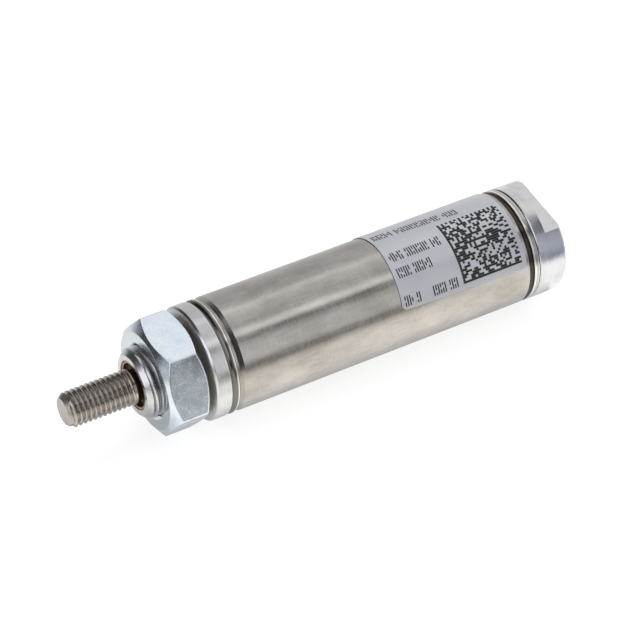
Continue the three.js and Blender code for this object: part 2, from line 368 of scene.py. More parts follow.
class Finish(Nodes):
    """A Principled material and its node tree."""

    def __init__(self, name, metallic=1.0, ior=1.5):
        self.material = bpy.data.materials.new(name)
        self.material.use_nodes = True
        super().__init__(self.material.node_tree)
        self.shader = self.tree.nodes["Principled BSDF"]
        self.shader.inputs["Metallic"].default_value = metallic
        self.shader.inputs["IOR"].default_value = ior

    def polar(self):
        """x, radius and angle of the shaded point, in metres and radians."""
        x, y, z = self.split(self.point())
        radius = self.math("SQRT", self.plus(self.times(y, y), self.times(z, z)))
        return x, radius, self.around(y, z)

    def facing_along(self):
        """How much the surface faces along the axis: 0 on its sides, 1 on its end faces."""
        normal = self.node("ShaderNodeNewGeometry").outputs["True Normal"]
        return self.math("ABSOLUTE", self.split(normal)[0])

    def end_face(self):
        return self.span(self.facing_along(), 0.85, 0.95, 0.0, 1.0)

    def vector(self, x=0.0, y=0.0, z=0.0):
        made = self.node("ShaderNodeCombineXYZ")
        for socket, value in zip(made.inputs, (x, y, z)):
            self.feed(socket, value)
        return made.outputs[0]

    def scaled(self, scale):
        """The shaded point, scaled along each axis."""
        made = self.node("ShaderNodeVectorMath", operation="MULTIPLY")
        self.feed(made.inputs[0], self.point())
        made.inputs[1].default_value = scale
        return made.outputs[0]

    def noise(self, at, detail=3.0, roughness=0.5, distortion=0.0):
        """Noise at a vector socket, or at the shaded point scaled by three numbers."""
        made = self.node("ShaderNodeTexNoise")
        self.feed(made.inputs["Vector"], self.scaled(at) if isinstance(at, tuple) else at)
        made.inputs["Scale"].default_value = 1.0
        made.inputs["Detail"].default_value = detail
        made.inputs["Roughness"].default_value = roughness
        made.inputs["Distortion"].default_value = distortion
        return made.outputs["Fac"]

    def cells(self, scale):
        """Distance from the middles of random cells."""
        made = self.node("ShaderNodeTexVoronoi", feature="F1")
        self.feed(made.inputs["Vector"], self.point())
        made.inputs["Scale"].default_value = scale
        return made.outputs["Distance"]

    def blend(self, a, share, b):
        """`share` of a, and b for the rest."""
        return self.plus(self.times(a, share), self.times(b, 1 - share))

    def tint(self, colour, mask, share, toward):
        """The colour, taken toward another by a share of the mask."""
        return self.mix(self.times(mask, share), colour, toward)

    def bump(self, height, distance, strength):
        made = self.node("ShaderNodeBump")
        made.inputs["Strength"].default_value = strength
        made.inputs["Distance"].default_value = distance
        self.feed(made.inputs["Height"], height)
        return made.outputs[0]

    def done(self, colour, roughness, normal=None):
        self.feed(self.shader.inputs["Base Color"], colour)
        self.feed(self.shader.inputs["Roughness"], roughness)
        if normal is not None:
            self.feed(self.shader.inputs["Normal"], normal)
        return self.material


def recess(f, x, radius, front, rear, floor_radius, rim_radius):
    """1 on the floor of a groove or thread between two stations in mm, 0 at its rim and elsewhere."""
    deep = f.span(radius, floor_radius * MM, rim_radius * MM, 1.0, 0.0)
    after = f.span(x, front * MM, (front + 0.15) * MM, 0.0, 1.0)
    before = f.span(x, (rear - 0.05) * MM, rear * MM, 1.0, 0.0)
    return f.times(deep, f.times(after, before))


def band(f, x, front, rear, soft=0.08):
    """1 between two stations in mm, 0 elsewhere."""
    after = f.span(x, (front - soft) * MM, front * MM, 0.0, 1.0)
    before = f.span(x, rear * MM, (rear + soft) * MM, 1.0, 0.0)
    return f.times(after, before)


def gap_face_painted_light(f, x, station, colour, roughness):
    """Colour and roughness with an end face at `station` mm, seen only in a narrow gap: painted pale as
    painted light in the gap, and duller.
    """
    face = f.times(band(f, x, station - 0.1, station + 0.1), f.end_face())
    # Painted light: the end face in the gap is taken toward a pale colour.
    return f.mix(face, colour, (0.82, 0.81, 0.76)), f.plus(roughness, f.times(face, 0.2))


# The tube's rolled grooves, with painted shade on their floors: (place, floor and rim below the tube's
# surface, share, shade).
GROOVE_PAINTED_SHADE = (
    (REAR_ROLL, 0.3, 0.06, 0.96, (0.05, 0.042, 0.035)),
    (FRONT_ROLL, 0.33, 0.1, 0.25, (0.12, 0.11, 0.10)),
)
# The tube's curled front end, front to rear, which gets painted shade.
TUBE_CURL = (-20.6, -19.6)
# Painted highlight lines on the tube's ridges beside its rolled grooves and near its rear end: (front,
# rear, share).
PAINTED_HIGHLIGHT_LINES = ((40.5, 40.72, 0.85), (41.3, 41.4, 0.6), (-19.42, -19.25, 0.85))


def tube_steel():
    """Satin stainless tube: fine marks around it, longer cloudy streaks along it, painted shade in its
    grooves and on its curled front end, and painted highlight lines on its ridges.
    """
    f = Finish("tube_steel")
    around = f.noise((5200, 500, 500), detail=2.0)
    along = f.noise((260, 2600, 2600))
    cloud = f.noise((120, 240, 240), detail=4.0, roughness=0.6)
    grain = f.blend(around, 0.5, along)
    colour = f.ramp(f.blend(grain, 0.35, cloud), [
        (0.36, (0.42, 0.395, 0.37)), (0.5, (0.51, 0.485, 0.46)), (0.64, (0.60, 0.575, 0.55)),
    ])
    x, radius, _ = f.polar()
    # Painted shade on the floors of the rolled grooves.
    for (middle, half), deep, rim, share, shade in GROOVE_PAINTED_SHADE:
        limits = middle - half, middle + half, TUBE_RADIUS - deep, TUBE_RADIUS - rim
        colour = f.tint(colour, recess(f, x, radius, *limits), share, shade)
    # Painted shade on the tube's curled front end.
    colour = f.tint(colour, band(f, x, *TUBE_CURL, 0.12), 0.75, (0.10, 0.098, 0.085))
    # Painted highlight lines on the ridges.
    for front, rear, share in PAINTED_HIGHLIGHT_LINES:
        colour = f.tint(colour, band(f, x, front, rear), share, (0.97, 0.95, 0.92))
    return f.done(colour, f.span(grain, 0.35, 0.65, 0.16, 0.25), f.bump(grain, 1.1e-6, 0.7))


def turned_aluminium(name="turned_aluminium", recesses=(), shoulder=None):
    """Bright turned aluminium: fine tool marks around the axis, painted shade on the floors of its
    recesses, and, when a shoulder is given, painted light on its face in a gap.
    """
    f = Finish(name)
    x, radius, angle = f.polar()
    place_of = f.vector(f.times(x, 9000.0), f.times(radius, 9000.0), f.times(angle, 0.6))
    marks = f.noise(place_of, detail=2.0)
    cloud = f.noise((300, 420, 420), detail=4.0, roughness=0.6)
    colour = f.ramp(f.blend(marks, 0.4, cloud), [
        (0.3, (0.58, 0.58, 0.61)), (0.5, (0.71, 0.71, 0.73)), (0.7, (0.79, 0.79, 0.79)),
    ])
    for limits in recesses:
        # Painted shade on the floors of the recesses.
        colour = f.tint(colour, recess(f, x, radius, *limits), 0.7, (0.10, 0.098, 0.095))
    roughness = f.span(cloud, 0.3, 0.7, 0.2, 0.34)
    # Painted light on the shoulder face in the gap behind the nut.
    if shoulder is not None:
        colour, roughness = gap_face_painted_light(f, x, shoulder, colour, roughness)
    return f.done(colour, roughness, f.bump(marks, 1.2e-6, 0.6))


def scratch_net(f):
    """1 along hair scratches that cross in three directions."""
    nets = []
    for scale in ((300, 2600, 900), (1200, 500, 2800), (2400, 900, 400)):
        wave = f.noise(scale, detail=1.0, distortion=0.3)
        nets.append(f.span(f.math("ABSOLUTE", f.math("SUBTRACT", wave, 0.5)), 0.0, 0.012, 1.0, 0.0))
    return f.math("MAXIMUM", f.math("MAXIMUM", nets[0], nets[1]), nets[2])


def darker_corner_patch(f, x, angle):
    """1 near the rear of one flat, just below the nut's corner on the label's side."""
    corner = math.radians(NUT_CORNER_ANGLE + 60)
    below = f.span(angle, corner - 0.01, corner + 0.02, 0.0, 1.0)
    near = f.span(angle, corner + 0.08, corner + 0.38, 1.0, 0.0)
    rearward = f.span(x, -29.0 * MM, -26.0 * MM, 0.25, 1.0)
    return f.times(f.times(below, near), rearward)


def zinc_plate():
    """Blue-bright zinc on the nuts: soft dents, small pits, fine scratches, one darker patch below a
    corner, and painted light on the mounting nut's rear face.
    """
    f = Finish("zinc_plate")
    cloud = f.noise((420, 420, 420), detail=5.0, roughness=0.65)
    dents = f.noise((1100, 1100, 1100), detail=2.0)
    fine = f.noise((3200, 3200, 3200), detail=2.0)
    pits = f.span(f.cells(900.0), 0.04, 0.12, 1.0, 0.0)
    scratches = f.times(scratch_net(f), f.span(cloud, 0.45, 0.6, 0.0, 1.0))
    colour = f.ramp(cloud, [
        (0.32, (0.70, 0.79, 0.93)), (0.5, (0.82, 0.905, 1.0)), (0.66, (0.89, 0.955, 1.0)),
    ])
    colour = f.tint(colour, pits, 0.45, (0.45, 0.46, 0.5))
    colour = f.tint(colour, f.end_face(), 0.7, (0.74, 0.785, 0.785))
    ends = f.span(f.facing_along(), 0.3, 0.6, 0.0, 1.0)
    roughness = f.plus(f.span(fine, 0.35, 0.65, 0.19, 0.27), f.times(scratches, 0.15))
    roughness = f.math("SUBTRACT", roughness, f.times(ends, 0.07))
    x, _, angle = f.polar()
    # Painted light on the nut's rear face, in the gap before the flange.
    colour, roughness = gap_face_painted_light(f, x, NUT_REAR, colour, roughness)
    # A darker patch on the flat below one corner, stronger towards the rear.
    corner_patch = f.times(darker_corner_patch(f, x, angle), f.span(ends, 0.0, 0.5, 1.0, 0.0))
    colour = f.tint(colour, corner_patch, f.span(cloud, 0.4, 0.6, 0.85, 0.45), (0.36, 0.38, 0.385))
    height = f.math("SUBTRACT", f.plus(dents, f.times(fine, 0.2)), f.times(scratches, 0.10))
    height = f.times(height, f.span(ends, 0.0, 1.0, 1.0, 0.2))
    return f.done(colour, roughness, f.bump(height, 1.0e-5, 0.8))


def rod_steel():
    """Ground stainless: fine marks around the rod, painted shade in the thread's roots, painted shade
    with a brown reflection of the bushing in the neck, and end faces darkened as a painted dark
    reflection.
    """
    f = Finish("rod_steel")
    around = f.noise((7000, 900, 900), detail=2.0)
    cloud = f.noise((500, 700, 700), detail=4.0, roughness=0.6)
    colour = f.ramp(f.blend(around, 0.5, cloud), [
        (0.3, (0.42, 0.385, 0.355)), (0.5, (0.52, 0.485, 0.455)), (0.7, (0.62, 0.585, 0.555)),
    ])
    x, radius, _ = f.polar()
    # Painted shade in the thread's roots, and painted shade with the bushing's brown reflection in the
    # neck.
    roots = recess(f, x, radius, -46.2, ROD_THREAD_END, 2.66, 3.02)
    neck = recess(f, x, radius, ROD_NECK[0] - 0.1, ROD_NECK[1] + 0.3, 2.85, 3.05)
    slope = f.facing_along()
    # End faces darkened: a painted dark reflection.
    colour = f.mix(f.span(slope, 0.93, 0.97, 0.0, 0.35), colour, (0.36, 0.35, 0.34))
    colour = f.tint(colour, roots, 0.25, (0.15, 0.14, 0.125))
    colour = f.tint(colour, neck, 0.75, (0.10, 0.075, 0.05))
    chamfer = f.times(f.span(slope, 0.5, 0.58, 0.0, 1.0), f.span(slope, 0.66, 0.74, 1.0, 0.0))
    roughness = f.plus(f.span(cloud, 0.3, 0.7, 0.13, 0.24), f.times(chamfer, 0.25))
    return f.done(colour, roughness, f.bump(around, 2e-6, 0.6))


def sintered_bronze():
    """Porous oil-filled bronze: brown, with small dark pores, and painted shade in its bore."""
    f = Finish("sintered_bronze")
    pores = f.span(f.cells(5200.0), 0.12, 0.3, 0.0, 1.0)
    cloud = f.noise((900, 900, 900), detail=4.0)
    colour = f.ramp(cloud, [
        (0.3, (0.34, 0.22, 0.12)), (0.55, (0.56, 0.41, 0.25)), (0.75, (0.70, 0.54, 0.35)),
    ])
    colour = f.mix(pores, (0.06, 0.035, 0.02), colour)
    _, radius, _ = f.polar()
    # Painted shade inside the bushing's counterbore and bore.
    colour = f.mix(f.span(radius, 3.9 * MM, 4.0 * MM, 0.75, 0.0), colour, (0.05, 0.034, 0.02))
    return f.done(colour, f.span(cloud, 0.3, 0.7, 0.38, 0.55), f.bump(pores, 1.5e-5, 0.6))


def spring_steel():
    f = Finish("spring_steel")
    drawn = f.noise((2500, 2500, 2500))
    colour = f.ramp(drawn, [(0.3, (0.20, 0.195, 0.19)), (0.7, (0.40, 0.39, 0.385))])
    return f.done(colour, f.span(drawn, 0.3, 0.7, 0.28, 0.42), f.bump(drawn, 3e-6, 0.5))


def black_rubber():
    f = Finish("black_rubber", metallic=0.0, ior=1.52)
    skin = f.noise((3500, 3500, 3500), detail=4.0, roughness=0.6)
    colour = f.ramp(skin, [(0.3, (0.010, 0.010, 0.011)), (0.7, (0.028, 0.028, 0.030))])
    return f.done(colour, f.span(skin, 0.3, 0.7, 0.5, 0.72), f.bump(skin, 8e-6, 0.5))


def white_acetal():
    f = Finish("white_acetal", metallic=0.0, ior=1.48)
    f.shader.inputs["Subsurface Weight"].default_value = 0.15
    f.shader.inputs["Subsurface Radius"].default_value = (0.001, 0.001, 0.001)
    x, radius, _ = f.polar()
    marks = f.noise(f.vector(f.times(x, 6000.0), f.times(radius, 6000.0)), detail=2.0)
    colour = f.ramp(marks, [(0.3, (0.76, 0.75, 0.71)), (0.7, (0.84, 0.83, 0.80))])
    return f.done(colour, f.span(marks, 0.3, 0.7, 0.38, 0.5), f.bump(marks, 4e-6, 0.5))


def silver_label():
    """Metallised label stock under a matt clear film, with painted shade towards the label's foot."""
    f = Finish("silver_label", metallic=0.7)
    f.shader.inputs["Coat Weight"].default_value = 0.25
    f.shader.inputs["Coat Roughness"].default_value = 0.3
    flow = f.noise((260, 420, 420))
    fine = f.noise((5000, 5000, 5000), detail=2.0)
    colour = f.ramp(f.blend(flow, 0.6, fine), [
        (0.35, (0.68, 0.70, 0.75)), (0.65, (0.77, 0.785, 0.825)),
    ])
    _, _, angle = f.polar()
    # Painted shade: darker towards the label's foot.
    lower = f.span(angle, math.radians(-40), math.radians(25), 0.0, 0.5)
    colour = f.mix(lower, colour, (0.44, 0.455, 0.51))
    return f.done(colour, f.span(fine, 0.35, 0.65, 0.36, 0.46), f.bump(fine, 1.5e-6, 0.5))


def print_ink():
    """Thermal print: black, slightly shiny, with an uneven tone."""
    f = Finish("print_ink", metallic=0.0)
    dots = f.noise((6000, 6000, 6000), detail=2.0)
    colour = f.ramp(dots, [(0.35, (0.004, 0.004, 0.004)), (0.75, (0.012, 0.011, 0.011))])
    return f.done(colour, f.span(dots, 0.3, 0.7, 0.4, 0.6))


# ---------------------------------------------------------------- pieces


def front_head(material):
    """Threaded nose, shoulder flange and the plug inside the tube, as one turned piece."""
    nose_front, inner_rear, _ = span("front_head")
    flange_rear = -20.65
    nose_radius = 6.35
    nose_tip = 5.4
    relief_front = HEAD_SHOULDER - 1.2
    relief_radius = 5.52
    bushing_bore = 4.46
    rod_bore = 3.575
    bushing_end = -18.15
    depth = THREAD_DEPTH * NOSE_PITCH

    def nose(x, share):
        share = share * np.clip((x - nose_front - 0.75) / 0.4, 0, 1)
        front_cone = nose_tip + (x - nose_front)
        rear_cone = relief_radius + (relief_front - x) * 1.5
        return np.minimum(nose_radius - depth * share, np.minimum(front_cone, rear_cone))

    outline = rounded([
        (relief_front, relief_radius, 0),
        (HEAD_SHOULDER, relief_radius, 0.15),
        (HEAD_SHOULDER, TUBE_RADIUS - 0.35, 0.05),
        (HEAD_SHOULDER + 0.35, TUBE_RADIUS, 0.08),
        (flange_rear, TUBE_RADIUS, 0.1),
        (flange_rear, PLUG_RADIUS, 0.03),
        *roll(FRONT_ROLL[0], FRONT_ROLL[1] + 0.12, PLUG_RADIUS, ROLL_DEPTH + 0.12),
        *seal_groove(-16.45, -14.65),
        (inner_rear, PLUG_RADIUS, 0.2),
        (inner_rear, rod_bore, 0.15),
        (bushing_end, rod_bore, 0.05),
        (bushing_end, bushing_bore, 0.05),
        (nose_front, bushing_bore, 0.1),
        (nose_front, nose_tip, 0),
    ], closed=False)
    shape = Shape().turn(outline, closed=False)
    shape.thread(nose_front, relief_front, NOSE_PITCH, nose)
    return place_for("front_head", shape, material)


def nose_bushing(material):
    front, rear, outer = span("nose_bushing")
    inner = 3.235
    sink = 3.95
    outline = rounded([
        (front, sink, 0.1), (front, outer, 0.1), (rear, outer, 0.12),
        (rear, inner, 0.1), (front + 1.2, inner, 0.05), (front + 0.9, sink, 0.1),
    ])
    shape = Shape().turn(outline, even_angles(SMALL_ROUND))
    return place_for("nose_bushing", shape, material)


def barrel_tube(material):
    """The drawn tube with its two rolled grooves and its vent hole."""
    front, rear, _ = span("barrel_tube")
    guard = 1.6
    outer = [
        (front, TUBE_RADIUS - 0.6, 0.04),
        (front + 0.62, TUBE_RADIUS - 0.06, 0.25),
        (front + 0.85, TUBE_RADIUS, 0.1),
        (-19.3, TUBE_RADIUS, 0.1),
        (-18.95, TUBE_RADIUS - 0.4, 0.25),
        (-18.6, TUBE_RADIUS - 0.4, 0.2),
        (-17.75, TUBE_RADIUS, 0.2),
        (VENT_X - guard, TUBE_RADIUS, 0),
        (VENT_X + guard, TUBE_RADIUS, 0),
        *roll(*REAR_ROLL, TUBE_RADIUS, ROLL_DEPTH, 0.12, 0.8),
        (rear - 0.4, TUBE_RADIUS, 0.15),
        (rear - 0.12, TUBE_RADIUS - 0.05, 0.1),
        (rear, TUBE_RADIUS - 0.2, 0.04),
    ]
    inner = [
        (rear, BORE_RADIUS, 0.08),
        *reversed(roll(*REAR_ROLL, BORE_RADIUS, ROLL_DEPTH)),
        (VENT_X + guard, BORE_RADIUS, 0),
        (VENT_X - guard, BORE_RADIUS, 0),
        *reversed(roll(*FRONT_ROLL, BORE_RADIUS, ROLL_DEPTH)),
        (front, BORE_RADIUS, 0.08),
    ]
    piece = place_for("barrel_tube", Shape().turn(rounded(outer + inner)), material)
    return cut_away(piece, vent_drill())


def vent_drill():
    """The solid that cuts the vent hole and its countersink, square to the tube's axis."""
    radius, low, rim, high = 0.8, TUBE_RADIUS - 1.5, TUBE_RADIUS - 0.16, TUBE_RADIUS + 0.3
    profile = [(low, 0.0), (low, radius), (rim, radius), (high, radius + 0.46), (high, 0.0)]
    turn = even_angles(48)
    across = np.array([(wide * np.cos(turn), wide * np.sin(turn)) for _, wide in profile])
    height = np.array([at for at, _ in profile])[:, None] + 0 * turn
    side = math.radians(VENT_ANGLE)
    outward = np.array((0, -math.sin(side), math.cos(side)))
    tangent = np.array((0, -math.cos(side), -math.sin(side)))
    points = (
        across[:, 0, :, None] * np.array((1, 0, 0))
        + across[:, 1, :, None] * tangent
        + height[..., None] * outward
        + np.array((VENT_X, 0, 0))
    )
    return Shape().grid(points.transpose(1, 0, 2), False).mesh("drill")


def cut_away(piece, data):
    """Takes a closed mesh out of a piece."""
    drill = in_scene("drill", data)
    cut = piece.modifiers.new("vent", "BOOLEAN")
    cut.operation = "DIFFERENCE"
    cut.solver = "EXACT"
    cut.object = drill
    bpy.context.view_layer.update()
    ready = piece.evaluated_get(bpy.context.evaluated_depsgraph_get())
    cleared = bpy.data.meshes.new_from_object(ready)
    piece.modifiers.clear()
    piece.data = cleared
    cleared.name = piece.name
    cleared.set_sharp_from_angle(angle=math.radians(32))
    bpy.data.objects.remove(drill)
    return piece


# The rear cap's half width across its wrench flats, and its air port.
FLAT_HALF = 7.9375
PORT_RADIUS = 4.2
PORT_MOUTH = 5.2
PORT_DEPTH = 9
PORT_THREAD = 8


def cap_outline(degrees, inner_front, rear):
    """The rear cap's outline at one angle, where the wrench flats cut into its rear part."""
    shoulder = 41.66
    flat_front = 43.85
    edge = 0.5
    passage = 2.0
    away = math.radians((degrees - WRENCH_ANGLE + 90) % 180 - 90)
    low = min(TUBE_RADIUS, FLAT_HALF / math.cos(away))
    bevel = max(0.08, edge - (TUBE_RADIUS - low))
    return rounded([
        (rear - PORT_THREAD, PORT_RADIUS, 0),
        (rear - PORT_DEPTH, PORT_RADIUS, 0.1),
        (rear - PORT_DEPTH - 2, passage, 0.1),
        (inner_front, passage, 0.1),
        (inner_front, PLUG_RADIUS, 0.2),
        *seal_groove(36.0, 37.8),
        *roll(REAR_ROLL[0], REAR_ROLL[1] + 0.12, PLUG_RADIUS, ROLL_DEPTH + 0.12),
        (shoulder, PLUG_RADIUS, 0.05),
        (shoulder, TUBE_RADIUS - 0.15, 0.04),
        (shoulder + 0.15, TUBE_RADIUS, 0.06),
        (flat_front, TUBE_RADIUS, 0.03),
        (flat_front, low, 0.05),
        (rear - bevel, low, 0.03),
        (rear, low - bevel, 0.03),
        (rear, PORT_MOUTH, 0),
    ], closed=False)


def rear_cap(material):
    """Rear cap with its plug, tapped port and two wrench flats."""
    inner_front, rear, _ = span("rear_cap")
    thread_front = rear - PORT_THREAD
    depth = 0.55 * PORT_PITCH
    edge_half = math.degrees(math.acos(FLAT_HALF / TUBE_RADIUS))
    extra = [
        (WRENCH_ANGLE + side + way * (edge_half + nudge)) % 360
        for side in (0, 180) for way in (-1, 1) for nudge in (-0.4, -0.12, 0.0, 0.12)
    ]
    angles = np.unique(np.concatenate([np.degrees(even_angles()), extra]))

    def tapped(x, share):
        fade = np.clip((x - thread_front) / 2, 0, 1)
        return np.maximum(PORT_MOUTH - (rear - x), PORT_RADIUS + depth * share * fade)

    outlines = np.array([cap_outline(angle, inner_front, rear) for angle in angles])
    shape = Shape().turn(outlines, np.radians(angles), closed=False)
    shape.thread(thread_front, rear, PORT_PITCH, tapped, np.radians(angles))
    return place_for("rear_cap", shape, material)


def hexagon(degrees, half, corner):
    """Radius of a hexagon with rounded corners. `degrees` is measured from a corner."""
    away = math.radians(abs((degrees + 30) % 60 - 30))
    centre = (half - corner) / math.cos(math.radians(30))
    touch = math.atan2(corner * 0.5, centre + corner * math.cos(math.radians(30)))
    if away < touch:
        return centre * math.cos(away) + math.sqrt(corner ** 2 - (centre * math.sin(away)) ** 2)
    return half / math.cos(math.radians(30) - away)


def hexagon_angles(corner_angle, per_flat):
    """Angles around a hexagon, close together at its corners, in degrees."""
    near = [0.0, 0.18, 0.36, 0.54, 0.72, 0.9, 1.1, 1.5, 2.2]
    half = sorted({-d for d in near} | set(near) | set(np.linspace(3.2, 56.8, per_flat)))
    return np.array([corner_angle + 60 * k + d for k in range(6) for d in half])


def hex_nut(front, rear, half, corner, corner_angle, bore, sink, per_flat, rear_fillet=0.2):
    """A hexagon nut with 35 degree chamfers at both ends and a countersunk bore."""
    face = half * 0.93
    slope = math.tan(math.radians(35))
    angles = hexagon_angles(corner_angle, per_flat)
    outlines = []
    for degrees in angles:
        outer = hexagon(degrees - corner_angle, half, corner)
        chamfer = (outer - face) * slope
        outlines.append(rounded([
            (front, bore + sink, 0.06), (front, face, 0.1),
            (front + chamfer, outer, 0.2), (rear - chamfer, outer, rear_fillet),
            (rear, face, 0.1), (rear, bore + sink, 0.06),
            (rear - sink, bore, 0.06), (front + sink, bore, 0.06),
        ]))
    return Shape().turn(np.array(outlines), np.radians(angles))


def mounting_nut(material):
    front, rear, _ = span("mounting_nut")
    shape = hex_nut(front, rear, 9.525, 0.35, NUT_CORNER_ANGLE, 6.45, 0.45, 22, 0.35)
    return place_for("mounting_nut", shape, material, sharp=24)


def piston_rod(material):
    """Rod with its rolled tip thread, its ground shank and the stud that holds the piston."""
    tip, stud_end, radius = span("piston_rod")
    shoulder = 25.55
    stud = 2.4
    tip_radius = radius - 0.8
    tip_slope = 0.8
    neck_front, neck_rear = ROD_NECK
    neck = radius - 0.4
    depth = THREAD_DEPTH * ROD_PITCH

    def threaded(x, share):
        fade = np.clip((ROD_THREAD_END - x) / 0.9, 0, 1)
        start = np.clip((x - tip - 0.3) / 0.4, 0, 1)
        cone = tip_radius + (x - tip) * tip_slope
        return np.minimum(radius - depth * share * fade * start, cone)

    outline = rounded([
        (ROD_THREAD_END, radius, 0),
        (neck_front - 0.1, radius, 0.05),
        (neck_front, neck, 0.05),
        (neck_rear, neck, 0.2),
        (neck_rear + 0.3, radius, 0.1),
        (shoulder, radius, 0.1),
        (shoulder, stud, 0.1),
        (stud_end - 0.3, stud, 0.05),
        (stud_end, stud - 0.3, 0.05),
        (stud_end, 0, 0),
    ], closed=False)
    angles = even_angles(SMALL_ROUND)
    shape = Shape().turn(outline, angles, closed=False)
    shape.thread(tip, ROD_THREAD_END, ROD_PITCH, threaded, angles)
    shape.turn([(tip, 0.0), (tip, tip_radius - 0.1), (tip, tip_radius)], angles, closed=False)
    return place_for("piston_rod", shape, material)


def return_spring(material):
    """Compression spring with one close turn at each end."""
    wire = 0.5
    radius = 6.5
    turns = 8
    sides = 14
    end_pitch = 1.15
    low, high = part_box("return_spring")
    front = low.x / MM + wire
    rear = high.x / MM - wire
    open_pitch = (rear - front - 2 * end_pitch) / (turns - 2)
    section = even_angles(sides)
    loops = []
    for t in np.linspace(0, turns, turns * 48 + 1):
        open_turns = min(max(t - 1, 0), turns - 2)
        x = front + (t - open_turns) * end_pitch + open_turns * open_pitch
        angle = np.full(sides, 2 * math.pi * t)
        loops.append(polar(x + wire * np.cos(section), radius + wire * np.sin(section), angle))
    piece = place_for("return_spring", Shape().sweep(np.array(loops)), material, 60)
    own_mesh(piece)
    return piece


def inner_rings(materials):
    """The turned pieces inside: seats, sleeve, bumpers, seals and the piston's wear ring."""
    rings = (
        ("spring_front_seat", 3.4, "spring_steel"),
        ("spring_piston_seat", 3.4, "spring_steel"),
        ("stop_sleeve", 3.45, "acetal"),
        ("front_bumper", 3.45, "rubber"),
        ("rear_bumper", 5.6, "rubber"),
        ("piston_wear_ring", 8.46, "acetal"),
    )
    for node, inner, slot in rings:
        front, rear, outer = span(node)
        place_for(node, Shape().turn(ring(front, rear, inner, outer)), materials[slot])
    for node in ("front_head_seal", "rear_cap_seal", "rod_stud_seal"):
        front, rear, outer = span(node)
        wire = (rear - front) / 2
        shape = Shape().turn(circle((front + rear) / 2, outer - wire, wire))
        place_for(node, shape, materials["rubber"], 60)


def piston(material):
    """Piston with a groove for its wear ring, a step for its cup seal, and a pocket for the lock nut."""
    front, rear, radius = span("piston")
    rim = radius - 0.4
    groove, step, pocket, rod, stud = 8.4, 6.6, 5.3, 3.45, 2.46
    outline = rounded([
        (front, rod, 0.1), (front, rim, 0.1), (front + 0.4, radius, 0.1),
        (front + 1.3, radius, 0.08), (front + 1.3, groove, 0.1), (front + 3.4, groove, 0.1),
        (front + 3.4, radius, 0.08), (front + 4.7, radius, 0.08), (front + 4.7, step, 0.15),
        (front + 8.0, step, 0.15), (front + 8.0, rim, 0.1), (rear, rim, 0.15),
        (rear, pocket, 0.15), (rear - 2.8, pocket, 0.15), (rear - 2.8, stud, 0.08),
        (front + 2.5, stud, 0.08), (front + 2.5, rod, 0.1),
    ])
    return place_for("piston", Shape().turn(outline), material)


def cup_seal(material):
    front, rear, outer = span("piston_cup_seal")
    inner = 6.66
    middle = (inner + outer) / 2
    outline = rounded([
        (front, inner, 0.15), (front, outer - 0.3, 0.3), (front + 1, outer - 0.15, 0.3),
        (rear, outer, 0.12), (rear, outer - 0.45, 0.12), (front + 1.3, middle, 0.4),
        (rear, inner + 0.45, 0.12), (rear, inner, 0.12),
    ])
    return place_for("piston_cup_seal", Shape().turn(outline), material, 60)


def lock_nut(material):
    front, rear, _ = span("piston_lock_nut")
    shape = hex_nut(front, rear, 3.95, 0.2, 0.0, 2.46, 0.3, 12)
    return place_for("piston_lock_nut", shape, material, sharp=24)


# Label: extents along the axis and around it, and what is printed on it.
LABEL_FRONT, LABEL_REAR = 13.65, 38.75
LABEL_TOP, LABEL_FOOT = -72.0, 71.0
LABEL_INNER, LABEL_OUTER = 10.347, 10.447
LABEL_CORNER = 1.0


def askew(x, angle):
    """The label sits a little askew: its lower edge drops to the rear and its front edge leans out."""
    down = np.clip(angle / math.radians(LABEL_FOOT), 0, 1)
    rearward = (x - LABEL_FRONT) / (LABEL_REAR - LABEL_FRONT)
    return x - 0.5 * down * (1 - rearward), angle + math.radians(4.0) * down * rearward


def label_sheet(material):
    """The label as a thin curved sheet with rounded corners."""
    reach = math.radians(LABEL_FOOT - LABEL_TOP) * LABEL_OUTER
    ends = [LABEL_CORNER * (1 - math.cos(math.radians(a))) for a in (0, 8, 20, 35, 50, 65, 78, 90)]
    between = np.linspace(LABEL_CORNER, reach - LABEL_CORNER, 90)[1:-1]
    places = [*ends, *between, *(reach - d for d in reversed(ends))]
    edge = 0.02
    rim = LABEL_OUTER - edge
    radius = np.array([LABEL_INNER, rim, LABEL_OUTER, LABEL_OUTER, rim, LABEL_INNER])
    loops = []
    for along in places:
        near = min(along, reach - along, LABEL_CORNER)
        inset = LABEL_CORNER - math.sqrt(LABEL_CORNER ** 2 - (LABEL_CORNER - near) ** 2)
        front, rear = LABEL_FRONT + inset, LABEL_REAR - inset
        x = np.array([front, front, front + edge, rear - edge, rear, rear])
        angle = math.radians(LABEL_TOP) + along / LABEL_OUTER
        x, angles = askew(x, np.full(6, angle))
        loops.append(polar(x, radius, angles))
    return place_for("id_label", Shape().sweep(np.array(loops)), material, 40)


class Print:
    """Thin raised bars on the label. Places are in mm: along the axis, and around it from +Z."""

    base = LABEL_OUTER - 0.008
    top = LABEL_OUTER + 0.014

    def __init__(self):
        self.shape = Shape()

    def bar(self, x0, x1, y0, y1):
        """A bar from x0 to x1 along the axis and y0 to y1 around it, with y downwards from +Z."""
        steps = max(1, math.ceil(abs(y1 - y0) / 0.4))
        x = np.array([x0, x0, x1, x1])
        radius = np.array([self.base, self.top, self.top, self.base])
        self.shape.sweep(np.array([
            polar(x, radius, np.full(4, y / LABEL_OUTER)) for y in np.linspace(y0, y1, steps + 1)
        ]))


